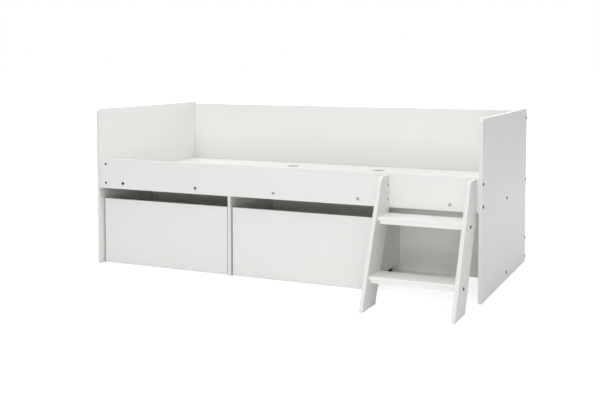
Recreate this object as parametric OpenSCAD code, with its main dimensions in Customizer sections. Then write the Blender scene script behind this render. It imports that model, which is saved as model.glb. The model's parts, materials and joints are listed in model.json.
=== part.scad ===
// Cabin bed: melamine panels bolted together round a raised deck, with two drawers on
// castors, an open bay and a two-step ladder that leans on the front rail.
// Lengths are in millimetres. X runs along the bed, Y from front to back, Z up.
// The origin is on the floor, under the middle of the whole outline.

/* [Overall size] */
// Length over the outer faces of the end panels
bed_length = 2040; // [1700:10:2450]
// Depth of the end panels, front edge to back edge
bed_depth = 960; // [800:5:1160]
// Height of the end panels
end_height = 810; // [675:5:975]
// Thickness of the panels, rails, deck boards, treads and drawer fronts
board_t = 16; // [13:0.5:20]
// Radius of the front top corner of each end panel
end_corner_r = 20; // [0:1:60]

/* [Rails and panels] */
// Clear height under the front rail
rail_bottom = 399; // [330:1:480]
// Height of the front rail, and of the low rear rail
rail_h = 154; // [128:1:185]
// Distance of the front rail's face behind the end panels' front edges
rail_inset = 7; // [0:1:20]
// Drop of the back panel's top below the end panels' tops
back_drop = 10; // [0:1:40]
// Depth of the bays, from the end panels' front edges to the middle panel
bay_depth = 485; // [400:5:580]
// Clear width of the open bay behind the ladder
open_bay_w = 496; // [450:2:600]
// Gap between the front rail and the divider's front edge
divider_gap = 3; // [1:0.5:8]

/* [Deck] */
// Height of the ledges that carry the deck boards
ledge_h = 44; // [34:1:54]
// Thickness of the ledges
ledge_t = 20; // [16:1:26]
// Height of the ledges' undersides above the front rail's lower edge
ledge_lift = 7; // [0:1:20]
// Length, along the bed, of each lift-out deck board
lift_board_w = 514; // [410:2:640]
// Joint between two deck boards, and between the deck and its frame
deck_gap = 1; // [0.5:0.5:4]
// Diameter of the finger hole in each lift-out board
finger_hole_d = 70; // [50:1:84]
// Distance of the finger hole's middle from the deck's back edge
finger_hole_back = 166; // [64:2:220]

/* [Drawers] */
// Gap at each side of a drawer front, to the walls of its bay
drawer_side_gap = 7.5; // [3:0.5:12]
// Distance of the drawer fronts behind the end panels' front edges
drawer_inset = 34; // [26:1:50]
// Gap under a drawer front
drawer_floor_gap = 7; // [4:1:20]
// Open gap over a drawer front, through which it is gripped
grip_gap = 58; // [40:1:80]
// How far a drawer front reaches past its box at each side
drawer_overhang = 20; // [0:1:40]
// Drop of the drawer box's top below the top of its front
drawer_box_drop = 64; // [20:1:110]
// Thickness of the drawer's sides, back and bottom
drawer_box_t = 12; // [10:0.5:16]
// Gap between a closed drawer and the middle panel
drawer_rear_gap = 0.3; // [0.3:0.1:5]

/* [Castors] */
// Diameter of a castor's wheel
wheel_d = 32; // [26:1:40]
// Width of a castor's wheel
wheel_w = 14; // [10:1:18]
// Gap between the wheel and each cheek of its housing
wheel_gap = 0.6; // [0.3:0.1:1]
// Gap between the wheel and the housing's plate
wheel_top_gap = 2.5; // [1.5:0.5:6]
// Thickness of the housing's cheeks and plate
castor_wall = 2.5; // [2:0.1:3.5]
// Diameter of the axle
axle_d = 5; // [4:0.5:6]
// Length of the housing's plate
castor_plate_l = 44; // [40:1:56]
// Distance from the inner face of the drawer's side to the middle of a castor
castor_inset_x = 19; // [19:1:60]
// Distance from the drawer box's front and back to the middle of a castor
castor_inset_y = 62; // [30:1:120]

/* [Ladder] */
// Lean of the ladder from upright, in degrees
ladder_angle = 24; // [18:0.5:30]
// Width of a stile, across its slope
stile_w = 150; // [120:1:180]
// Thickness of a stile
stile_t = 18; // [15:0.5:22]
// Gap between the right stile and the right end panel
ladder_end_gap = 11; // [5:1:40]
// Distance of the left stile from the drawer's bay
ladder_bay_gap = 67; // [8:1:100]
// Drop of the stiles' tops below the front rail's top
stile_top_drop = 6; // [0:1:40]
// Radius of a stile's front top corner
stile_corner_r = 30; // [0:1:50]
// Height of the lower tread's top
first_step = 140; // [116:1:168]
// Drop of the upper tread's top below the front rail's lower edge
upper_tread_drop = 19; // [10:1:40]
// Depth of a tread, front to back
tread_d = 126; // [105:1:140]
// Radius of a tread's long edges
tread_edge_r = 3; // [0.5:0.5:6]
// Height of the batten under each tread
batten_h = 20; // [16:1:24]
// Width of that batten, front to back
batten_w = 44; // [32:1:52]

/* [Fasteners] */
// Diameter of a connector bolt's shank
bolt_d = 6; // [5:0.5:8]
// Diameter of the flat heads of the bolts and of the front ledge's screws
head_d = 15; // [12:0.5:18]
// Height of those heads, which stand on the boards
head_h = 2.4; // [2:0.1:3]
// Diameter of a cross dowel
dowel_d = 12; // [10:0.5:14]
// Length of a cross dowel
dowel_l = 12; // [9:0.5:12]
// Distance of a cross dowel's middle from the joint, in the boards between the ends
dowel_inset = 34; // [27:1:41]
// The same distance in the stiles and the divider
short_inset = 22; // [18:1:26]
// Distance of the rails' bolts from the rails' edges
rail_bolt_edge = 28; // [20:1:40]
// Drop of the lower bolts in the front rail's ends below the ladder's lower fixings
rail_bolt_drop = 13; // [10:1:20]
// Distance of the back panel's bolts from the panel's edges
back_bolt_edge = 37; // [20:1:80]
// Height of the middle panel's lower bolts
middle_bolt_low = 39; // [20:1:80]
// Distance of the middle panel's upper bolts below its top
middle_bolt_top = 49; // [30:1:80]
// Gap between the heads of the ladder's lower bolts and the deck boards above them
stile_bolt_gap = 2.5; // [1:0.5:8]
// Drop of the ladder's upper fixings below the upper bolts in the rail's ends
stile_bolt_high = 21; // [14:1:30]
// Distance of the outer ledge screws from the ends of the rail
ledge_screw_end = 136; // [60:1:180]
// Shift of all the ledge screws towards the ladder
ledge_screw_shift = 5; // [0:1:10]

/* [Hidden] */
$fn = 48;
fit = 0.1;                 // radial clearance of a fastener in its hole
axle_fit = 0.05;           // radial clearance of a wheel on its axle
cut = 1;                   // how far a cutting tool overshoots a face

inside_l = bed_length - 2 * board_t;
rail_top = rail_bottom + rail_h;
rail_back = rail_inset + board_t;
ledge_z = rail_bottom + ledge_lift;
deck_z = ledge_z + ledge_h;
back_front = bed_depth - board_t;
back_top = end_height - back_drop;
deck_front = rail_back + deck_gap;
deck_back = back_front - deck_gap;
deck_end = inside_l / 2 - deck_gap;

// Bays, from the left: drawer, divider, drawer, open bay behind the ladder
bay_w = (inside_l - board_t - open_bay_w) / 2;
divider_x = -inside_l / 2 + bay_w;
divider_front = rail_back + divider_gap;
function drawer_x(d) = -inside_l / 2 + bay_w / 2 + (d - 1) * (bay_w + board_t);

front_w = bay_w - 2 * drawer_side_gap;
front_top = rail_bottom - grip_gap;
front_h = front_top - drawer_floor_gap;
box_w = front_w - 2 * drawer_overhang;
box_front = drawer_inset + board_t;
box_back = bay_depth - drawer_rear_gap;
box_d = box_back - box_front;
box_in_w = box_w - 2 * drawer_box_t;
castor_h = wheel_d + wheel_top_gap + castor_wall;
drawer_box_h = front_top - drawer_box_drop - castor_h;
drawers = [1, 2];
ends = [-1, 1];

// Ladder: the rear edge of a stile turns upright where it meets the front rail
slope = tan(ladder_angle);
stile_level_w = stile_w / cos(ladder_angle);
heel_y = rail_inset - rail_bottom * slope;
toe_y = heel_y - stile_level_w;
stile_top = rail_top - stile_top_drop;
stile_right_x = inside_l / 2 - ladder_end_gap;
tread_l = open_bay_w - ladder_end_gap - ladder_bay_gap - 2 * stile_t;
stile_in_x = [stile_right_x - stile_t - tread_l, stile_right_x - stile_t];
stile_mid_x = [for (i = [0, 1]) stile_in_x[i] + ends[i] * stile_t / 2];
ladder_x = (stile_in_x[0] + stile_in_x[1]) / 2;
function stile_mid(z) = toe_y + z * slope + stile_level_w / 2;
steps = [0, 1];
function tread_top(s) = s > 0 ? rail_bottom - upper_tread_drop : first_step;
function tread_z(s) = tread_top(s) - board_t / 2;
function batten_z(s) = tread_top(s) - board_t - batten_h / 2;

// The outline runs from the ladder's toes to the back of the end panels
outline_mid_y = (bed_depth + toe_y) / 2;

// Connector bolts in the end panels: Y and Z of each, and the face its cross dowel
// goes in from (-1 front, 1 back)
rail_y = rail_inset + board_t / 2;
rear_y = bed_depth - board_t / 2;
middle_y = bay_depth + board_t / 2;
stile_joint_low = deck_z - stile_bolt_gap - head_d / 2;
rail_joints = [for (z = [stile_joint_low - rail_bolt_drop, rail_top - rail_bolt_edge]) [rail_y, z, -1]];
back_joints = [for (z = [rail_bottom + back_bolt_edge, back_top - back_bolt_edge]) [rear_y, z, 1]];
rear_joints = [for (z = [rail_bolt_edge, rail_h - rail_bolt_edge]) [rear_y, z, 1]];
middle_joints = [for (z = [middle_bolt_low, deck_z - middle_bolt_top]) [middle_y, z, 1]];
end_joints = concat(rail_joints, back_joints, rear_joints, middle_joints);
divider_joints = [for (j = middle_joints) j[1]];
stile_joints = [stile_joint_low, rail_joints[1][1] - stile_bolt_high];
ledge_relief = head_d + 6;          // width of the front ledge's gap round a ladder bolt

ledge_screw_x = [for (i = [-2 : 2]) i * (inside_l / 2 - ledge_screw_end) / 2 + ledge_screw_shift];
ledge_screw_z = ledge_z + ledge_h / 2;

// Wood screws: shank diameter, head diameter, length
front_ledge_screw = [5, head_d, board_t + ledge_t - 6];
rear_ledge_screw = [4, 8, board_t + ledge_t - 6];
tread_screw = [4, 8, batten_h + board_t - 4];
box_screw = [4, 7, 38];
castor_screw = [3, 5.4, castor_wall + drawer_box_t - 4];
step_bolt = [7, head_d, 50];

// Drawer fittings
cam_d = 12;
cam_depth = 9;
cam_inset = 24;
pin_d = 6;
pin_grip = 9;
cam_z = [castor_h + 45, castor_h + drawer_box_h - 45];
back_screw_z = [castor_h + 60, castor_h + drawer_box_h - 45];
bottom_z = castor_h + drawer_box_t / 2;
bottom_screw_y = [for (i = [1 : 3]) box_front + box_d * i / 4];
bottom_back_x = [for (s = ends) s * box_in_w / 4];
castor_x = box_in_w / 2 - castor_inset_x;
castor_y = [box_front + castor_inset_y, box_back - castor_inset_y];
castor_names = ["front", "rear"];
side_names = ["left", "right"];
housing_w = wheel_w + 2 * (wheel_gap + castor_wall);
castor_plate_w = housing_w + 2 * 8;
castor_screw_at = [housing_w / 2 + 4, castor_plate_l / 2 - 5];
wheel_r = wheel_d / 2;
rim_r = wheel_r - 5;                // inside of the wheel's rim
hub_r = axle_d / 2 + 3;

wooden_dowel = [8, 30, 12];         // diameter, length, depth in the stile
tread_dowel_y = tread_d / 2 - 23;
tread_screw_x = [for (i = [-1 : 1]) i * (tread_l / 2 - 60)];

white = [0.93, 0.93, 0.92];
zinc = [0.70, 0.71, 0.72];
beech = [0.80, 0.68, 0.50];
black = [0.06, 0.06, 0.065];
grey = [0.32, 0.33, 0.34];

// ---------------------------------------------------------------- shared shapes

// Draws its children in the frame whose origin is under the middle of the outline
module in_frame() translate([0, -outline_mid_y, 0]) children();

// Stands a YZ outline up and gives it a thickness along +X
module plate_x(t) rotate([90, 0, 90]) linear_extrude(t) children();

module rounded_rect(size, r) {
    translate([r, 0]) square([size.x - 2 * r, size.y]);
    translate([0, r]) square([size.x, size.y - 2 * r]);
    for (x = [r, size.x - r], y = [r, size.y - r]) translate([x, y]) circle(r);
}

// Local frames of the joints. Z points out of the joint, towards the bolt's head.
module at_end(s, y, z) translate([s * inside_l / 2, y, z]) rotate([0, s * 90, 0]) children();
module at_back(x, y, z) translate([x, y, z]) rotate([-90, 0, 0]) children();
module at_divider_joints() for (z = divider_joints)
    at_back(divider_x + board_t / 2, bay_depth, z) children();
module at_stile_joint(i) for (z = stile_joints) at_back(stile_mid_x[i], rail_inset, z) children();
module at_stile_joints() for (i = [0, 1]) at_stile_joint(i) children();
module at_ledge_screws(s) for (x = ledge_screw_x)
    translate([x, s > 0 ? bed_depth : rail_inset, ledge_screw_z]) rotate([-s * 90, 0, 0]) children();

// Turns a cross dowel, which goes in along +Y, to go in along X instead, towards f
module across_x(f) rotate([0, 0, -f * 90]) children();

// Flat head that stands on z = 0, with a bevelled rim and a hex socket
module flat_head() difference() {
    union() {
        cylinder(h = head_h - 0.8, d = head_d);
        translate([0, 0, head_h - 0.8]) cylinder(h = 0.8, d1 = head_d, d2 = head_d - 1.6);
    }
    translate([0, 0, head_h - 1.6]) cylinder(h = 2, d = bolt_d - 0.8, $fn = 6);
}

// Flat-headed bolt or screw: its head stands on z = 0 and its shank points down
module flat_headed(s) {
    flat_head();
    translate([0, 0, -s[2]]) cylinder(h = s[2] + 0.4, d = s[0]);
}
module plain_hole(s) translate([0, 0, -s[2] - fit]) cylinder(h = s[2] + fit + cut, d = s[0] + 2 * fit);

// Connector bolt through a board of thickness t into a cross dowel at that inset, and its
// holes: in the board under its head, and in the end of the other board
module connector_bolt(t, inset) translate([0, 0, t]) flat_headed([bolt_d, head_d, t + inset + bolt_d]);
module bolt_hole(t) translate([0, 0, -cut]) cylinder(h = t + 2 * cut, d = bolt_d + 2 * fit);
module bolt_end_hole(inset) {
    depth = inset + bolt_d + 3;
    translate([0, 0, -depth]) cylinder(h = depth + cut, d = bolt_d + 2 * fit);
}

// Cross dowel: a barrel nut across the bolt, slotted in the end that faces +Y
module cross_dowel(inset) translate([0, 0, -inset]) difference() {
    rotate([90, 0, 0]) cylinder(h = dowel_l, d = dowel_d, center = true);
    cylinder(h = dowel_d + 2 * cut, d = bolt_d + 2 * fit, center = true);
    translate([-dowel_d, dowel_l / 2 - 1.5, -0.7]) cube([2 * dowel_d, 2, 1.4]);
}
module dowel_hole(t, inset) translate([0, -dowel_l / 2 - fit, -inset]) rotate([-90, 0, 0])
    cylinder(h = dowel_l / 2 + fit + t / 2 + cut, d = dowel_d + 2 * fit);

// Countersunk wood screw, head at z = 0 and point down, and the hole that it fills
module wood_screw(s) {
    cone = (s[1] - s[0]) / 2;
    difference() {
        union() {
            translate([0, 0, -cone]) cylinder(h = cone, d1 = s[0], d2 = s[1]);
            translate([0, 0, -s[2]]) cylinder(h = s[2] - cone / 2, d = s[0]);
        }
        for (a = [0, 90]) rotate(a) translate([-s[1] / 4, -0.4, -cone * 0.8])
            cube([s[1] / 2, 0.8, cone + cut]);
    }
}
module screw_hole(s) {
    cone = (s[1] - s[0]) / 2 + fit;
    translate([0, 0, -cone]) cylinder(h = cone, d1 = s[0] + 2 * fit, d2 = s[1] + 4 * fit);
    translate([0, 0, -s[2] - fit]) cylinder(h = s[2] + fit + cut / 4, d = s[0] + 2 * fit);
}

// ---------------------------------------------------------------- bed frame

module end_panel(s) color(white) difference() {
    translate([s > 0 ? inside_l / 2 : -bed_length / 2, 0, 0]) plate_x(board_t) union() {
        translate([end_corner_r, 0]) square([bed_depth - end_corner_r, end_height]);
        square([bed_depth, end_height - end_corner_r]);
        translate([end_corner_r, end_height - end_corner_r]) circle(end_corner_r);
    }
    for (j = end_joints) at_end(s, j[0], j[1]) bolt_hole(board_t);
}

// A board between the end panels, drilled at both ends for its connector bolts
module cross_board(y, z, t, h, joints) difference() {
    translate([-inside_l / 2, y, z]) cube([inside_l, t, h]);
    for (s = ends, j = joints) at_end(s, j[0], j[1]) {
        bolt_end_hole(dowel_inset);
        rotate(j[2] > 0 ? 0 : 180) dowel_hole(t, dowel_inset);
    }
}

module front_rail() color(white) difference() {
    cross_board(rail_inset, rail_bottom, board_t, rail_h, rail_joints);
    at_stile_joints() bolt_hole(board_t);
    at_ledge_screws(-1) plain_hole(front_ledge_screw);
}

module back_panel() color(white) difference() {
    cross_board(back_front, rail_bottom, board_t, back_top - rail_bottom, back_joints);
    at_ledge_screws(1) screw_hole(rear_ledge_screw);
}

module rear_rail() color(white) cross_board(back_front, 0, board_t, rail_h, rear_joints);

module middle_panel() color(white) difference() {
    cross_board(bay_depth, 0, board_t, deck_z, middle_joints);
    at_divider_joints() bolt_hole(board_t);
}

// Stands between the drawers, notched at the top for the front ledge
module divider() color(white) difference() {
    translate([divider_x, divider_front, 0]) cube([board_t, bay_depth - divider_front, deck_z]);
    translate([divider_x - cut, rail_back - cut, ledge_z - deck_gap])
        cube([board_t + 2 * cut, ledge_t + deck_gap + cut, ledge_h + 2 * cut]);
    at_divider_joints() {
        bolt_end_hole(short_inset);
        across_x(1) dowel_hole(board_t, short_inset);
    }
}

module ledge(y) translate([-inside_l / 2, y, ledge_z]) cube([inside_l, ledge_t, ledge_h]);

// The front ledge is relieved round the ladder's lower bolts
module front_ledge() color(beech) difference() {
    ledge(rail_back);
    at_ledge_screws(-1) plain_hole(front_ledge_screw);
    for (x = stile_mid_x)
        translate([x - ledge_relief / 2, rail_back - cut, stile_joints[0] - ledge_relief / 2])
            cube([ledge_relief, ledge_t + 2 * cut, ledge_h]);
}

module rear_ledge() color(beech) difference() {
    ledge(back_front - ledge_t);
    at_ledge_screws(1) screw_hole(rear_ledge_screw);
}

// Deck boards lie on the ledges and on the middle panel's top edge
module deck_board(s) color(white) {
    x0 = lift_board_w + deck_gap * 1.5;
    translate([s > 0 ? x0 : -deck_end, deck_front, deck_z])
        cube([deck_end - x0, deck_back - deck_front, board_t]);
}
module lift_board(s) color(white) difference() {
    translate([s > 0 ? deck_gap / 2 : -lift_board_w - deck_gap / 2, deck_front, deck_z])
        cube([lift_board_w, deck_back - deck_front, board_t]);
    translate([s * (lift_board_w + deck_gap) / 2, deck_back - finger_hole_back, deck_z - cut])
        cylinder(h = board_t + 2 * cut, d = finger_hole_d);
}

module connector_bolts() color(zinc) {
    for (s = ends, j = end_joints) at_end(s, j[0], j[1]) connector_bolt(board_t, dowel_inset);
    at_divider_joints() connector_bolt(board_t, short_inset);
    at_stile_joints() connector_bolt(board_t, short_inset);
}

module cross_dowels() color(zinc) {
    for (s = ends, j = end_joints) at_end(s, j[0], j[1]) rotate(j[2] > 0 ? 0 : 180)
        cross_dowel(dowel_inset);
    at_divider_joints() across_x(1) cross_dowel(short_inset);
    for (i = [0, 1]) at_stile_joint(i) across_x(-ends[i]) cross_dowel(short_inset);
}

module front_ledge_screws() color(zinc) at_ledge_screws(-1) flat_headed(front_ledge_screw);
module rear_ledge_screws() color(zinc) at_ledge_screws(1) wood_screw(rear_ledge_screw);

// ---------------------------------------------------------------- ladder

module stile_outline() {
    // The rounded corner touches the level top and the sloping front edge
    cz = stile_top - stile_corner_r;
    cy = toe_y + (stile_corner_r + cz * sin(ladder_angle)) / cos(ladder_angle);
    polygon([
        [toe_y, 0],
        [heel_y, 0],
        [rail_inset, rail_bottom],
        [rail_inset, stile_top],
        [cy, stile_top],
        [cy - stile_corner_r * cos(ladder_angle), cz + stile_corner_r * sin(ladder_angle)]
    ]);
    translate([cy, cz]) circle(stile_corner_r);
}

module stile(i) color(white) {
    s = ends[i];
    difference() {
        translate([stile_mid_x[i] - stile_t / 2, 0, 0]) plate_x(stile_t) stile_outline();
        at_stile_joint(i) {
            bolt_end_hole(short_inset);
            across_x(-s) dowel_hole(stile_t, short_inset);
        }
        for (t = steps) {
            at_step_bolt(i, t) plain_hole(step_bolt);
            at_tread_dowels(s, t) cylinder(h = wooden_dowel[2] + fit, d = wooden_dowel[0] + 2 * fit);
        }
    }
}

// Bolt through a stile into a batten's end
module at_step_bolt(i, t)
    translate([stile_in_x[i] + ends[i] * stile_t, stile_mid(batten_z(t)), batten_z(t)])
        rotate([0, ends[i] * 90, 0]) children();
module step_bolts() color(zinc) for (i = [0, 1], t = steps) at_step_bolt(i, t) flat_headed(step_bolt);

// Local frames on a stile's inner face, Z pointing into the stile
module at_tread_dowels(s, t) for (y = [-1, 1])
    translate([ladder_x + s * tread_l / 2, stile_mid(tread_z(t)) + y * tread_dowel_y, tread_z(t)])
        rotate([0, s * 90, 0]) children();

module tread(t) color(white) difference() {
    translate([ladder_x - tread_l / 2, stile_mid(tread_z(t)) - tread_d / 2, tread_top(t) - board_t])
        plate_x(tread_l) rounded_rect([tread_d, board_t], tread_edge_r);
    for (s = ends) at_tread_dowels(s, t)
        translate([0, 0, wooden_dowel[2] - wooden_dowel[1] - fit])
            cylinder(h = wooden_dowel[1] - wooden_dowel[2] + fit + cut, d = wooden_dowel[0] + 2 * fit);
    at_tread_screws(t) screw_hole(tread_screw);
}

module tread_batten(t) color(white) difference() {
    translate([ladder_x - tread_l / 2, stile_mid(batten_z(t)) - batten_w / 2, batten_z(t) - batten_h / 2])
        cube([tread_l, batten_w, batten_h]);
    for (i = [0, 1]) at_step_bolt(i, t) plain_hole(step_bolt);
    at_tread_screws(t) screw_hole(tread_screw);
}

module at_tread_screws(t) for (x = tread_screw_x)
    translate([ladder_x + x, stile_mid(batten_z(t)), batten_z(t) - batten_h / 2])
        rotate([180, 0, 0]) children();

module tread_screws() color(zinc) for (t = steps) at_tread_screws(t) wood_screw(tread_screw);

module tread_dowels() color(beech) for (s = ends, t = steps) at_tread_dowels(s, t)
    translate([0, 0, wooden_dowel[2] - wooden_dowel[1]]) cylinder(h = wooden_dowel[1], d = wooden_dowel[0]);

// ---------------------------------------------------------------- drawers

module drawer_front(d) color(white) difference() {
    translate([drawer_x(d) - front_w / 2, drawer_inset, drawer_floor_gap])
        cube([front_w, board_t, front_h]);
    for (s = ends, z = cam_z) at_cam_pin(d, s, z) cylinder(h = pin_grip + fit, d = pin_d + 2 * fit);
}

// Local frame on the back of the front, at the middle of a side's edge, Z into the front
module at_cam_pin(d, s, z) translate([drawer_x(d) + s * (box_w - drawer_box_t) / 2, box_front, z])
    rotate([90, 0, 0]) children();

module drawer_side(d, s) color(white) difference() {
    translate([drawer_x(d) + s * box_w / 2 - (s > 0 ? drawer_box_t : 0), box_front, castor_h])
        cube([drawer_box_t, box_d, drawer_box_h]);
    for (z = cam_z) {
        at_cam_pin(d, s, z) translate([0, 0, -cam_inset])
            cylinder(h = cam_inset + cut, d = pin_d + 2 * fit);
        at_cam(d, s, z) translate([0, 0, -cam_depth - fit])
            cylinder(h = cam_depth + fit + cut, d = cam_d + 2 * fit);
    }
    at_side_screws(d, s) screw_hole(box_screw);
}

// Local frame on a side's inner face, Z towards the middle of the drawer
module at_cam(d, s, z) translate([drawer_x(d) + s * box_in_w / 2, box_front + cam_inset, z])
    rotate([0, -s * 90, 0]) children();

module at_side_screws(d, s) translate([drawer_x(d) + s * box_w / 2, 0, 0]) {
    for (z = back_screw_z) translate([0, box_back - drawer_box_t / 2, z]) rotate([0, s * 90, 0]) children();
    for (y = bottom_screw_y) translate([0, y, bottom_z]) rotate([0, s * 90, 0]) children();
}
module at_back_screws(d) for (x = bottom_back_x)
    translate([drawer_x(d) + x, box_back, bottom_z]) rotate([-90, 0, 0]) children();

module drawer_back(d) color(white) difference() {
    translate([drawer_x(d) - box_in_w / 2, box_back - drawer_box_t, castor_h])
        cube([box_in_w, drawer_box_t, drawer_box_h]);
    for (s = ends) at_side_screws(d, s) screw_hole(box_screw);
    at_back_screws(d) screw_hole(box_screw);
}

module drawer_bottom(d) color(white) difference() {
    translate([drawer_x(d) - box_in_w / 2, box_front, castor_h])
        cube([box_in_w, box_d - drawer_box_t, drawer_box_t]);
    for (s = ends) at_side_screws(d, s) screw_hole(box_screw);
    at_back_screws(d) screw_hole(box_screw);
    at_castor_screws(d) screw_hole(castor_screw);
}

// Cam with a radial bore for the pin's end, and a cross recess to turn it by
module drawer_cams(d) color(zinc) for (s = ends, z = cam_z) at_cam(d, s, z) difference() {
    translate([0, 0, -cam_depth]) cylinder(h = cam_depth - 0.3, d = cam_d);
    translate([0, 1, -drawer_box_t / 2]) rotate([90, 0, 0]) cylinder(h = cam_d, d = pin_d + 2 * fit);
    for (a = [0, 90]) rotate(a) translate([-3.5, -0.5, -1.8]) cube([7, 1, 3]);
}

module drawer_cam_pins(d) color(zinc) for (s = ends, z = cam_z) at_cam_pin(d, s, z)
    translate([0, 0, -cam_inset]) cylinder(h = cam_inset + pin_grip, d = pin_d);

module drawer_box_screws(d) color(zinc) {
    for (s = ends) at_side_screws(d, s) wood_screw(box_screw);
    at_back_screws(d) wood_screw(box_screw);
}

// ---------------------------------------------------------------- castors

// Local frame of a castor: X across the drawer, origin on the floor
module at_castor(d, s, row) translate([drawer_x(d) + s * castor_x, castor_y[row], 0]) children();
module at_castors(d) for (s = ends, row = [0, 1]) at_castor(d, s, row) children();
module at_castor_screws(d) at_castors(d) for (x = ends, y = ends)
    translate([x * castor_screw_at.x, y * castor_screw_at.y, castor_h - castor_wall])
        rotate([180, 0, 0]) children();

// Moulded housing: a screwed plate, two cheeks that taper to the axle, each stiffened
// by a gusset, and two end walls that stop short of the wheel
module castor_housing() {
    top = castor_h - castor_wall;
    boss_r = axle_d / 2 + 4.5;
    gusset_h = 9;
    wall_y = wheel_r * 0.84;
    wall_z = wheel_r + sqrt(wheel_r * wheel_r - wall_y * wall_y) + 1.5;
    difference() {
        union() {
            translate([-castor_plate_w / 2, -castor_plate_l / 2, top])
                linear_extrude(castor_wall) rounded_rect([castor_plate_w, castor_plate_l], 4);
            for (s = ends) translate([s > 0 ? housing_w / 2 - castor_wall : -housing_w / 2, 0, 0])
                plate_x(castor_wall) {
                    polygon([[-boss_r, wheel_r], [-wheel_r, top], [wheel_r, top], [boss_r, wheel_r]]);
                    translate([0, wheel_r]) circle(boss_r);
                }
            for (s = ends) translate([-housing_w / 2, s > 0 ? wall_y : -wall_y - castor_wall / 2, wall_z])
                cube([housing_w, castor_wall / 2, top - wall_z + castor_wall / 2]);
            for (a = [0, 180]) rotate(a) translate([0, 1, 0]) rotate([90, 0, 0]) linear_extrude(2)
                polygon([[housing_w / 2 - castor_wall / 2, top + castor_wall / 2],
                    [castor_plate_w / 2 - 1, top + castor_wall / 2], [castor_plate_w / 2 - 1, top],
                    [housing_w / 2, top - gusset_h], [housing_w / 2 - castor_wall / 2, top - gusset_h]]);
        }
        translate([0, 0, wheel_r]) rotate([0, 90, 0])
            cylinder(h = housing_w + 2 * cut, d = axle_d + 2 * fit, center = true);
        for (x = ends, y = ends) translate([x * castor_screw_at.x, y * castor_screw_at.y, top])
            rotate([180, 0, 0]) screw_hole(castor_screw);
    }
}
module drawer_castor_housings(d) color(black) at_castors(d) castor_housing();

// Axle riveted over at both ends
module castor_axle() translate([0, 0, wheel_r]) rotate([0, 90, 0]) {
    cylinder(h = housing_w + 1, d = axle_d, center = true);
    for (s = ends) translate([0, 0, s * (housing_w / 2 + 0.5)])
        cylinder(h = 1, d = axle_d + 3, center = true);
}
module drawer_castor_axles(d) color(zinc) at_castors(d) castor_axle();

module drawer_castor_screws(d) color(zinc) at_castor_screws(d) wood_screw(castor_screw);

// Wheel with a rounded tread, a thin web and ribs from the hub to the rim
module wheel() color(grey) translate([0, 0, wheel_r]) rotate([0, 90, 0]) {
    bore_r = axle_d / 2 + axle_fit;
    web_t = 3;
    rib_t = 1.6;
    rib_set_back = 2.2;
    rotate_extrude() {
        translate([bore_r, -wheel_w / 2]) square([hub_r - bore_r, wheel_w]);
        translate([hub_r - 0.5, -web_t / 2]) square([rim_r - hub_r + 1, web_t]);
        translate([rim_r, -wheel_w / 2]) rounded_rect([wheel_r - rim_r, wheel_w], 1.5);
    }
    for (a = [0 : 60 : 300]) rotate(a) translate([hub_r - 0.5, -rib_t / 2, -wheel_w / 2 + rib_set_back])
        cube([rim_r - hub_r + 1, rib_t, wheel_w - 2 * rib_set_back]);
}

// ---------------------------------------------------------------- assembly

in_frame() end_panel(-1);  // end_panel_left
in_frame() end_panel(1);  // end_panel_right
in_frame() front_rail();
in_frame() back_panel();
in_frame() rear_rail();
in_frame() middle_panel();
in_frame() divider();
in_frame() front_ledge();
in_frame() rear_ledge();
in_frame() deck_board(-1);  // deck_board_left
in_frame() lift_board(-1);  // lift_board_left
in_frame() lift_board(1);  // lift_board_right
in_frame() deck_board(1);  // deck_board_right
in_frame() connector_bolts();
in_frame() cross_dowels();
in_frame() front_ledge_screws();
in_frame() rear_ledge_screws();

in_frame() stile(0);  // stile_left
in_frame() stile(1);  // stile_right
in_frame() tread(0);  // tread_lower
in_frame() tread(1);  // tread_upper
in_frame() tread_batten(0);  // batten_lower
in_frame() tread_batten(1);  // batten_upper
in_frame() step_bolts();
in_frame() tread_screws();
in_frame() tread_dowels();

for (d = drawers) {
    name = str("drawer_", d, "_");
    in_frame() drawer_front(d);
    in_frame() drawer_side(d, -1);
    in_frame() drawer_side(d, 1);
    in_frame() drawer_back(d);
    in_frame() drawer_bottom(d);
    in_frame() drawer_cams(d);
    in_frame() drawer_cam_pins(d);
    in_frame() drawer_box_screws(d);
    in_frame() drawer_castor_housings(d);
    in_frame() drawer_castor_axles(d);
    in_frame() drawer_castor_screws(d);
    for (row = [0, 1], i = [0, 1])
        in_frame() at_castor(d, ends[i], row) wheel();
}
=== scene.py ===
"""Look of the cabin bed: bevelled and edge-banded boards, metal fittings, castors and a white studio."""
import json
import math

import bmesh
import bpy
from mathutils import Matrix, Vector


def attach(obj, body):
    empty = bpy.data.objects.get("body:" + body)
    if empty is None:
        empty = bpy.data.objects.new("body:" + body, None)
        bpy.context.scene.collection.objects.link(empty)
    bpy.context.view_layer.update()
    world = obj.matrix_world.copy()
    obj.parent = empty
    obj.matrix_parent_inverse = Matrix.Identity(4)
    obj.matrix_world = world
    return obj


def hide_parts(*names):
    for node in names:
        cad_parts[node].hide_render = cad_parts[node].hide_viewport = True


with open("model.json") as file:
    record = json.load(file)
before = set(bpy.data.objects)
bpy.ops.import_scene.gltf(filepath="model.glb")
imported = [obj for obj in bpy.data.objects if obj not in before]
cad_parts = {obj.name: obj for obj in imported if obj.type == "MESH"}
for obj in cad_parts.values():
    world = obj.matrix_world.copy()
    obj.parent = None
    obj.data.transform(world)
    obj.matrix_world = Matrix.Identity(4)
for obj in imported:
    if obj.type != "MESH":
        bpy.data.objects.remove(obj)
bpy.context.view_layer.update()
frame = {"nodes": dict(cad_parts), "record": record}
nodes = frame["nodes"]
node_body = {n: body for body, members in frame["record"]["behaviour"]["bodies"].items() for n in members}

MM = 0.001

# ---------------------------------------------------------------- camera

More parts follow.
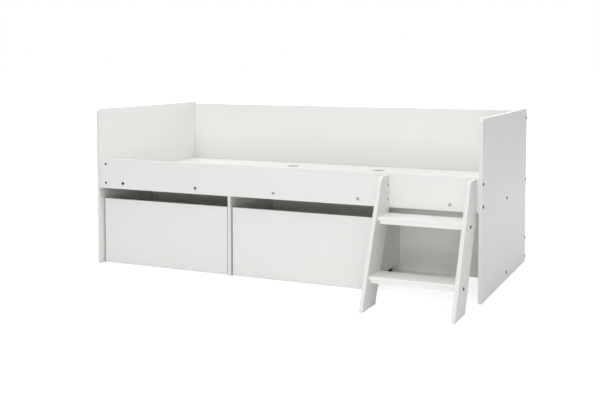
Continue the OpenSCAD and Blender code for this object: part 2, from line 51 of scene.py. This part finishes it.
# Solved from the bed's straight edges in the photograph
PICTURE = (600, 400)          # pixels
CAMERA_AT = (1.9504, -4.1510, 1.0537)
CAMERA_AZIMUTH = 23.70        # degrees, turned from +Y towards -X
CAMERA_DROP = 3.02            # degrees below the horizon
FOCAL_PX = 906.1
PRINCIPAL_PX = (322.5, 110.0)
SENSOR_MM = 36
CLIP_NEAR = 0.05
CLIP_FAR = 100


def make_camera():
    data = bpy.data.cameras.new("camera")
    data.sensor_width = SENSOR_MM
    data.lens = FOCAL_PX / PICTURE[0] * SENSOR_MM
    data.shift_x = (PICTURE[0] / 2 - PRINCIPAL_PX[0]) / PICTURE[0]
    data.shift_y = (PRINCIPAL_PX[1] - PICTURE[1] / 2) / PICTURE[0]
    data.clip_start = CLIP_NEAR
    data.clip_end = CLIP_FAR
    camera = bpy.data.objects.new("camera", data)
    bpy.context.scene.collection.objects.link(camera)
    camera.location = CAMERA_AT
    camera.rotation_euler = (math.radians(90 - CAMERA_DROP), 0, math.radians(CAMERA_AZIMUTH))
    bpy.context.scene.camera = camera


# ---------------------------------------------------------------- shader nodes

def new_material(name):
    material = bpy.data.materials.new(name)
    material.use_nodes = True
    tree = material.node_tree
    shader = tree.nodes["Principled BSDF"]
    return material, tree, shader


def add(tree, kind, **inputs):
    """A new node. Each input is named by its socket, with _ for a space."""
    node = tree.nodes.new(kind)
    for key, value in inputs.items():
        node.inputs[key.replace("_", " ")].default_value = value
    return node


def maths(tree, operation, *values):
    """Result of a maths node. Each value is a number or another node's output."""
    node = tree.nodes.new("ShaderNodeMath")
    node.operation = operation
    for socket, value in zip(node.inputs, values):
        if isinstance(value, bpy.types.NodeSocket):
            tree.links.new(value, socket)
        else:
            socket.default_value = value
    return node.outputs[0]


def object_point(tree, stretch=(1, 1, 1)):
    """Position on the piece in metres, optionally stretched for grain."""
    place = tree.nodes.new("ShaderNodeTexCoord")
    mapping = tree.nodes.new("ShaderNodeMapping")
    mapping.inputs["Scale"].default_value = stretch
    tree.links.new(place.outputs["Object"], mapping.inputs["Vector"])
    return mapping.outputs["Vector"]


def along_axes(tree, point):
    """The X, Y and Z of a point, by name."""
    split = tree.nodes.new("ShaderNodeSeparateXYZ")
    tree.links.new(point, split.inputs[0])
    return split.outputs


def noise(tree, point, scale, detail=3.0, roughness=0.5):
    node = add(tree, "ShaderNodeTexNoise", Scale=scale, Detail=detail, Roughness=roughness)
    tree.links.new(point, node.inputs["Vector"])
    return node.outputs["Fac"]


def ramp(tree, value, stops):
    """Colour ramp through (position, colour) stops."""
    node = tree.nodes.new("ShaderNodeValToRGB")
    elements = node.color_ramp.elements
    while len(elements) < len(stops):
        elements.new(0.5)
    for element, (position, colour) in zip(elements, stops):
        element.position = position
        element.color = (*colour, 1)
    tree.links.new(value, node.inputs["Fac"])
    return node.outputs["Color"]


def remap(tree, value, low, high, start=0.0, end=1.0):
    """Low where the value is start, high where it is end, even between them and level outside."""
    node = add(tree, "ShaderNodeMapRange", From_Min=start, From_Max=end, To_Min=low, To_Max=high)
    tree.links.new(value, node.inputs["Value"])
    return node.outputs["Result"]


def bump(tree, shader, height, depth, strength):
    node = add(tree, "ShaderNodeBump", Strength=strength, Distance=depth)
    tree.links.new(height, node.inputs["Height"])
    tree.links.new(node.outputs["Normal"], shader.inputs["Normal"])


def shade(colour, factor):
    return tuple(c * factor for c in colour)


# ---------------------------------------------------------------- materials

PAINTED_DARK_REFLECTION = (0.012, 0.012, 0.013)   # painted dark reflection on the plated fittings at the bed's left end, which are dark in the photograph
PAINTED_DARK_UP_TO = -0.9                   # X up to which they are as dark as that
PAINTED_DARK_ENDS_AT = 0.0                    # X from which they have their own colour


def melamine(name, colour, rough, gloss=0.4):
    """Melamine facing: an even white, a fine pearl grain and slow, faint unevenness."""
    material, tree, shader = new_material(name)
    point = object_point(tree)
    cloud = noise(tree, point, scale=2.3, detail=2.0)
    tint = ramp(tree, cloud, [(0.3, shade(colour, 0.995)), (0.7, shade(colour, 1.004))])
    tree.links.new(tint, shader.inputs["Base Color"])
    patches = noise(tree, point, scale=40)
    tree.links.new(remap(tree, patches, rough - 0.04, rough + 0.05), shader.inputs["Roughness"])
    pearl = noise(tree, point, scale=900, detail=2.0)
    bump(tree, shader, pearl, depth=0.05 * MM, strength=0.5)
    shader.inputs["Specular IOR Level"].default_value = gloss
    return material


def particle_board(name):
    """Raw core that shows in drilled holes and cuts: pale chips in a darker binder."""
    material, tree, shader = new_material(name)
    chips = add(tree, "ShaderNodeTexVoronoi", Scale=600)
    tree.links.new(object_point(tree), chips.inputs["Vector"])
    distance = chips.outputs["Distance"]
    stops = [(0.0, (0.50, 0.41, 0.31)), (0.6, (0.36, 0.29, 0.21)), (1.0, (0.20, 0.16, 0.11))]
    tree.links.new(ramp(tree, distance, stops), shader.inputs["Base Color"])
    bump(tree, shader, distance, depth=0.3 * MM, strength=0.8)
    shader.inputs["Roughness"].default_value = 0.9
    return material


def wood(name, pale, dark):
    """Planed softwood with its grain along X."""
    material, tree, shader = new_material(name)
    bands = noise(tree, object_point(tree, (0.06, 1, 1)), scale=60, detail=4.0, roughness=0.6)
    tint = ramp(tree, bands, [(0.35, pale), (0.52, shade(pale, 0.9)), (0.62, dark), (0.7, pale)])
    tree.links.new(tint, shader.inputs["Base Color"])
    fibres = noise(tree, object_point(tree, (0.02, 1, 1)), scale=900, detail=2.0)
    tree.links.new(remap(tree, fibres, 0.5, 0.7), shader.inputs["Roughness"])
    bump(tree, shader, fibres, depth=0.15 * MM, strength=0.6)
    return material


def metal(name, colour, rough, left=None):
    """Plated steel: slightly patchy, with a fine scatter of roughness. Where left is given, the colour falls
    to it towards the bed's left end, a painted dark reflection."""
    material, tree, shader = new_material(name)
    point = object_point(tree)
    patches = noise(tree, point, scale=260, detail=4.0, roughness=0.65)
    tint = ramp(tree, patches, [(0.3, shade(colour, 0.78)), (0.7, colour)])
    # painted dark reflection: the colour darkens towards the bed's left end
    if left:
        mix = tree.nodes.new("ShaderNodeMix")
        mix.data_type = "RGBA"
        mix.inputs["A"].default_value = (*left, 1)
        plain = remap(tree, along_axes(tree, point)["X"], 0.0, 1.0, PAINTED_DARK_UP_TO, PAINTED_DARK_ENDS_AT)
        tree.links.new(plain, mix.inputs["Factor"])
        tree.links.new(tint, mix.inputs["B"])
        tint = mix.outputs["Result"]
    tree.links.new(tint, shader.inputs["Base Color"])
    scatter = noise(tree, point, scale=1500, detail=2.0)
    tree.links.new(remap(tree, scatter, rough - 0.08, rough + 0.1), shader.inputs["Roughness"])
    bump(tree, shader, patches, depth=0.02 * MM, strength=0.4)
    shader.inputs["Metallic"].default_value = 1.0
    return material


def moulded(name, colour, rough, grain):
    """Moulded plastic with a spark-eroded grain."""
    material, tree, shader = new_material(name)
    point = object_point(tree)
    cloud = noise(tree, point, scale=90)
    tint = ramp(tree, cloud, [(0.3, shade(colour, 0.85)), (0.7, shade(colour, 1.2))])
    tree.links.new(tint, shader.inputs["Base Color"])
    tree.links.new(remap(tree, cloud, rough - 0.05, rough + 0.08), shader.inputs["Roughness"])
    bump(tree, shader, noise(tree, point, scale=1400, detail=2.0), depth=grain, strength=0.6)
    return material


WHITE = (0.80, 0.80, 0.785)
FACE = melamine("melamine_face", WHITE, 0.42)
BAND = melamine("edge_band", shade(WHITE, 0.97), 0.6, 0.15)
TREAD_BAND = melamine("tread_edge_band", shade(WHITE, 1.04), 0.42)
# a lighter, greener copy of the white facing for the boards inside the bed: painted light in their shade
PAINTED_LIGHT_INNER = melamine("inner_face_painted_light", (0.84, 0.845, 0.80), 0.42)
CORE = particle_board("particle_board")
SOFTWOOD = wood("softwood", (0.62, 0.46, 0.28), (0.45, 0.29, 0.15))
DOWEL_WOOD = wood("dowel_wood", (0.58, 0.40, 0.23), (0.42, 0.26, 0.13))
ZINC = metal("zinc_plate", (0.55, 0.56, 0.57), 0.33)
# both carry the painted dark reflection towards the bed's left end
NICKEL = metal("nickel_plate", (0.32, 0.32, 0.325), 0.3, PAINTED_DARK_REFLECTION)
BARREL = metal("dull_nickel", (0.46, 0.46, 0.465), 0.35, PAINTED_DARK_REFLECTION)
BLACK_ZINC = metal("black_zinc_plate", (0.035, 0.035, 0.037), 0.4)
PAINT = melamine("white_paint", (0.95, 0.95, 0.935), 0.38)
HOUSING = moulded("castor_housing", (0.012, 0.012, 0.013), 0.42, 0.05 * MM)
WHEEL = moulded("castor_wheel", (0.03, 0.03, 0.032), 0.5, 0.08 * MM)


# ---------------------------------------------------------------- pieces

MERGE = 0.002 * MM            # vertices closer than this become one
COPLANAR_DEG = 0.2            # facets that turn by less become one face
PARALLEL = 0.99999            # cosine between normals that count as the same
SAME_PLANE = 0.01 * MM        # offset between planes that count as the same
ON_PLANE = 0.05 * MM          # distance at which a point lies on an outline plane
FACED = 0.99                  # cosine to the board's thin axis from which a side is a wide face
SHORT_EDGE = 0.02 * MM        # edges shorter than this are closed up before a bevel
BOARD_CORNER_DEG = 30         # edges of a board that turn more are rounded
FITTING_CORNER_DEG = 50       # edges of a fitting that turn more are broken
SHARP_DEG = 35                # edges that turn more stay sharp in the shading
NORMAL_WEIGHT = 80            # above 50, large faces lead in the weighted normals
FACE_SLOT, BAND_SLOT, CUT_SLOT = range(3)

# How far the edges of each kind of piece are rounded or broken
BATTEN_EDGE = 1.2 * MM
LEDGE_EDGE = 1.0 * MM
BOARD_EDGE = 0.8 * MM
DOWEL_EDGE = 0.8 * MM
CASTOR_EDGE = 0.3 * MM
BOLT_EDGE = 0.25 * MM
SCREW_EDGE = 0.15 * MM


def clean_copy(name):
    """The node's mesh with its triangles merged back into whole faces."""
    bm = bmesh.new()
    bm.from_mesh(nodes[name].data)
    bmesh.ops.remove_doubles(bm, verts=bm.verts, dist=MERGE)
    bmesh.ops.dissolve_limit(bm, angle_limit=math.radians(COPLANAR_DEG), use_dissolve_boundaries=False,
                             verts=bm.verts, edges=bm.edges, delimit={"NORMAL"})
    return bm


def hull_planes(bm):
    """Planes (normal, offset) of the convex outline that the mesh fills."""
    hull = bmesh.new()
    for v in bm.verts:
        hull.verts.new(v.co)
    made = bmesh.ops.convex_hull(hull, input=hull.verts)
    inner = {g for g in made["geom_unused"] + made["geom_interior"] if isinstance(g, bmesh.types.BMVert)}
    bmesh.ops.delete(hull, geom=list(inner), context="VERTS")
    planes = []
    for f in hull.faces:
        offset = f.normal.dot(f.verts[0].co)
        if not any(f.normal.dot(n) > PARALLEL and abs(offset - o) < SAME_PLANE for n, o in planes):
            planes.append((f.normal.copy(), offset))
    hull.free()
    return planes


def planes_at(point, planes):
    """Normals of the outline planes that the point lies on."""
    return [n for n, o in planes if abs(n.dot(point) - o) < ON_PLANE]


def corner_edges(bm, degrees):
    """Edges at which the surface turns by more than that."""
    return [e for e in bm.edges if len(e.link_faces) == 2 and e.calc_face_angle(0) > math.radians(degrees)]


def bevel(bm, edges, radius, segments, material=-1):
    """Rounds the edges. The new faces keep the material beside them where it is -1."""
    bmesh.ops.bevel(bm, geom=edges, offset=radius, segments=segments, profile=0.5, affect="EDGES",
                    clamp_overlap=True, material=material)


def finish(name, bm, materials):
    """Turns the mesh into a piece that stands for the node and rides on its body."""
    mesh = bpy.data.meshes.new(name + "_look")
    bm.to_mesh(mesh)
    bm.free()
    for m in materials:
        mesh.materials.append(m)
    piece = bpy.data.objects.new(name + "_look", mesh)
    bpy.context.scene.collection.objects.link(piece)
    for polygon in mesh.polygons:
        polygon.use_smooth = True
    mesh.set_sharp_from_angle(angle=math.radians(SHARP_DEG))
    normals = piece.modifiers.new("even_faces", "WEIGHTED_NORMAL")
    normals.keep_sharp = True
    normals.weight = NORMAL_WEIGHT
    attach(piece, node_body[name])
    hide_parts(name)


def board(name, radius=BOARD_EDGE, outside=(FACE, BAND), cut=CORE):
    """A faced board: rounded edge band round its outline, raw core in its holes and cuts."""
    bm = clean_copy(name)
    planes = hull_planes(bm)
    size = [max(v.co[i] for v in bm.verts) - min(v.co[i] for v in bm.verts) for i in range(3)]
    thin = size.index(min(size))
    for f in bm.faces:
        if not planes_at(f.calc_center_median(), planes):
            f.material_index = CUT_SLOT
        elif abs(f.normal[thin]) > FACED:
            f.material_index = FACE_SLOT
        else:
            f.material_index = BAND_SLOT
    outer = []
    for e in corner_edges(bm, BOARD_CORNER_DEG):
        middle = (e.verts[0].co + e.verts[1].co) / 2
        if len(planes_at(middle, planes)) >= 2:
            outer.append(e)
    bevel(bm, outer, radius, segments=3, material=BAND_SLOT)
    finish(name, bm, [*outside, cut])


def solid_numbers(bm):
    """For each vertex in turn, the number of the separate solid that it belongs to."""
    bm.verts.index_update()
    numbers = [None] * len(bm.verts)
    count = 0
    for start in bm.verts:
        if numbers[start.index] is not None:
            continue
        numbers[start.index] = count
        waiting = [start]
        while waiting:
            v = waiting.pop()
            for e in v.link_edges:
                other = e.other_vert(v)
                if numbers[other.index] is None:
                    numbers[other.index] = count
                    waiting.append(other)
        count += 1
    return numbers


def fitting(name, material, radius):
    """Small solid fittings with their corner edges broken. Each solid is bevelled in a mesh of its own: the
    narrowest face limits the width of a whole bevel, and one bevel to a mesh gives the same order of
    vertices each run."""
    bm = clean_copy(name)
    bmesh.ops.dissolve_degenerate(bm, dist=SHORT_EDGE, edges=bm.edges)
    numbers = solid_numbers(bm)
    whole = bmesh.new()
    passed_on = bpy.data.meshes.new("one_solid")
    for number in range(max(numbers) + 1):
        one = bm.copy()
        others = [v for v, n in zip(one.verts, numbers) if n != number]
        bmesh.ops.delete(one, geom=others, context="VERTS")
        bevel(one, corner_edges(one, FITTING_CORNER_DEG), radius, segments=2)
        one.to_mesh(passed_on)
        one.free()
        whole.from_mesh(passed_on)
    bm.free()
    bpy.data.meshes.remove(passed_on)
    finish(name, whole, [material])


DRAWERS = ("drawer_1_", "drawer_2_")
BOX_BOARDS = ("side_left", "side_right", "back", "bottom")
BOX_FITTINGS = ("cams", "cam_pins", "box_screws", "castor_axles", "castor_screws")
CORNERS = ("front_left", "front_right", "rear_left", "rear_right")

BOARDS = ["end_panel_left", "end_panel_right", "front_rail", "back_panel", "rear_rail", "divider",
          "deck_board_left", "deck_board_right", "stile_left", "stile_right", "drawer_1_front",
          "drawer_2_front"]
INNER_BOARDS = ["middle_panel"] + [drawer + part for drawer in DRAWERS for part in BOX_BOARDS]
ZINC_FITTINGS = ["rear_ledge_screws", "tread_screws"]
ZINC_FITTINGS += [drawer + part for drawer in DRAWERS for part in BOX_FITTINGS]

for name in BOARDS:
    board(name)
# the boards inside the bed take the painted-light facing
for name in INNER_BOARDS:
    board(name, outside=(PAINTED_LIGHT_INNER, BAND))
for name in ("lift_board_left", "lift_board_right"):
    board(name, cut=BAND)
for name in ("tread_lower", "tread_upper"):
    board(name, outside=(FACE, TREAD_BAND))
for name in ("batten_lower", "batten_upper"):
    board(name, BATTEN_EDGE, (PAINT, PAINT))
for name in ("front_ledge", "rear_ledge"):
    board(name, LEDGE_EDGE, (SOFTWOOD, SOFTWOOD), SOFTWOOD)
for name in ("connector_bolts", "step_bolts"):
    fitting(name, BLACK_ZINC, BOLT_EDGE)
fitting("front_ledge_screws", NICKEL, BOLT_EDGE)
fitting("cross_dowels", BARREL, BOLT_EDGE)
for name in ZINC_FITTINGS:
    fitting(name, ZINC, SCREW_EDGE)
fitting("tread_dowels", DOWEL_WOOD, DOWEL_EDGE)
for drawer in DRAWERS:
    fitting(drawer + "castor_housings", HOUSING, CASTOR_EDGE)
    for corner in CORNERS:
        fitting(drawer + "wheel_" + corner, WHEEL, CASTOR_EDGE)


# ---------------------------------------------------------------- studio

FULL_WHITE = (1, 1, 1, 1)
WORLD_LIGHT = 0.328
FLOOR_HALF = 60
FLOOR_COLOUR = (0.86, 0.86, 0.86, 1)
NEAR_GLOW = 0.66              # added to the floor near the bed, where it keeps the shadow
FAR_GLOW = 1.0                # added to it away from the bed
NEAR_UP_TO = 1.2              # metres from the bed's middle
FAR_FROM = 2.6
BAY_GLOW = 0.12               # share of the glow that is left in the bed's bays
SHADED_FLOOR = [
    # X from, to and soft width, then Y from, to and soft width
    ((0.20, 0.76, 0.06), (0.02, 0.20, 0.08)),       # open bay
    ((-0.95, 0.44, 0.06), (-0.14, 0.20, 0.08)),     # under the drawers
    ((-1.0, 1.0, 0.01), (0.185, 0.60, 0.012)),      # store behind them
]
LAMPS = [
    # name, place, target, size, watts, spread in degrees
    ("overhead", (0.0, -0.3, 4.0), (0, 0, 0), (5, 4), 122, 180),
    ("front_far", (0.5, -9.0, 4.5), (0, 0, 0.4), (6, 4), 84, 180),
    ("front_right", (2.6, -5.0, 1.8), (0, 0, 0.4), (3, 2.5), 14, 180),
    ("front_low", (0.8, -5.0, 0.7), (0, 0, 0.4), (3, 1.2), 11, 180),
    ("front_floor", (1.6, -5.2, 0.5), (0.5, 0, 0.3), (2, 0.8), 49, 180),
    ("left_side", (-5.5, -1.0, 1.6), (0, 0, 0.4), (3, 2.5), 18, 180),
    ("back", (0.3, 5.5, 2.6), (0, 0.6, 0.4), (1.4, 1.2), 80, 180),
    ("left_inside", (0.95, -0.1, 2.3), (-1.0, -0.1, 0.75), (1.2, 0.6), 0.55, 50),
]


def shown_over(tree, shown, lighting):
    """Rays from the camera or off a glossy surface meet one shader, and all other rays the other."""
    path = tree.nodes.new("ShaderNodeLightPath")
    mix = tree.nodes.new("ShaderNodeMixShader")
    seen = maths(tree, "MAXIMUM", path.outputs["Is Camera Ray"], path.outputs["Is Glossy Ray"])
    tree.links.new(seen, mix.inputs["Fac"])
    tree.links.new(lighting.outputs[0], mix.inputs[1])
    tree.links.new(shown.outputs[0], mix.inputs[2])
    return mix


def inside(tree, value, low, high, soft):
    """1 between low and high, falling to 0 over the soft width outside."""
    away = maths(tree, "ABSOLUTE", maths(tree, "SUBTRACT", value, (low + high) / 2))
    half = (high - low) / 2
    return remap(tree, away, 1.0, 0.0, half, half + soft)


def shaded_floor(tree, point):
    """1 on the parts of the floor inside the bed, 0 elsewhere."""
    axes = along_axes(tree, point)
    shaded = 0.0
    for along_x, along_y in SHADED_FLOOR:
        zone = maths(tree, "MULTIPLY", inside(tree, axes["X"], *along_x), inside(tree, axes["Y"], *along_y))
        shaded = maths(tree, "MAXIMUM", shaded, zone)
    return shaded


def floor_material():
    """A pale floor. The camera and reflections see it brightened to white, less so near the bed, where it
    keeps the shadow, and hardly at all inside the bed."""
    material = bpy.data.materials.new("floor")
    material.use_nodes = True
    tree = material.node_tree
    tree.nodes.clear()
    point = object_point(tree)
    distance = tree.nodes.new("ShaderNodeVectorMath")
    distance.operation = "LENGTH"
    tree.links.new(point, distance.inputs[0])
    strength = maths(tree, "MULTIPLY",
                     remap(tree, distance.outputs["Value"], NEAR_GLOW, FAR_GLOW, NEAR_UP_TO, FAR_FROM),
                     remap(tree, shaded_floor(tree, point), 1.0, BAY_GLOW))
    glow = add(tree, "ShaderNodeEmission", Color=FULL_WHITE)
    tree.links.new(strength, glow.inputs["Strength"])
    plain = add(tree, "ShaderNodeBsdfDiffuse", Color=FLOOR_COLOUR)
    both = tree.nodes.new("ShaderNodeAddShader")
    tree.links.new(plain.outputs[0], both.inputs[0])
    tree.links.new(glow.outputs[0], both.inputs[1])
    out = tree.nodes.new("ShaderNodeOutputMaterial")
    tree.links.new(shown_over(tree, both, plain).outputs[0], out.inputs["Surface"])
    return material


def make_floor():
    bm = bmesh.new()
    bmesh.ops.create_grid(bm, x_segments=1, y_segments=1, size=FLOOR_HALF)
    mesh = bpy.data.meshes.new("floor")
    bm.to_mesh(mesh)
    bm.free()
    mesh.materials.append(floor_material())
    floor = bpy.data.objects.new("floor", mesh)
    bpy.context.scene.collection.objects.link(floor)


def make_world():
    """Even light all round, before a background that is seen as white."""
    world = bpy.data.worlds.new("studio")
    bpy.context.scene.world = world
    world.use_nodes = True
    tree = world.node_tree
    tree.nodes.clear()
    light = add(tree, "ShaderNodeBackground", Color=FULL_WHITE, Strength=WORLD_LIGHT)
    seen = add(tree, "ShaderNodeBackground", Color=FULL_WHITE, Strength=1.0)
    out = tree.nodes.new("ShaderNodeOutputWorld")
    tree.links.new(shown_over(tree, seen, light).outputs[0], out.inputs["Surface"])


def softbox(name, at, target, size, watts, spread):
    data = bpy.data.lights.new(name, "AREA")
    data.shape = "RECTANGLE"
    data.size, data.size_y = size
    data.energy = watts
    data.spread = math.radians(spread)
    lamp = bpy.data.objects.new(name, data)
    bpy.context.scene.collection.objects.link(lamp)
    lamp.location = at
    lamp.rotation_euler = (Vector(target) - Vector(at)).to_track_quat("-Z", "Y").to_euler()


make_camera()
make_floor()
make_world()
for lamp in LAMPS:
    softbox(*lamp)

bpy.context.scene.view_settings.view_transform = "Standard"
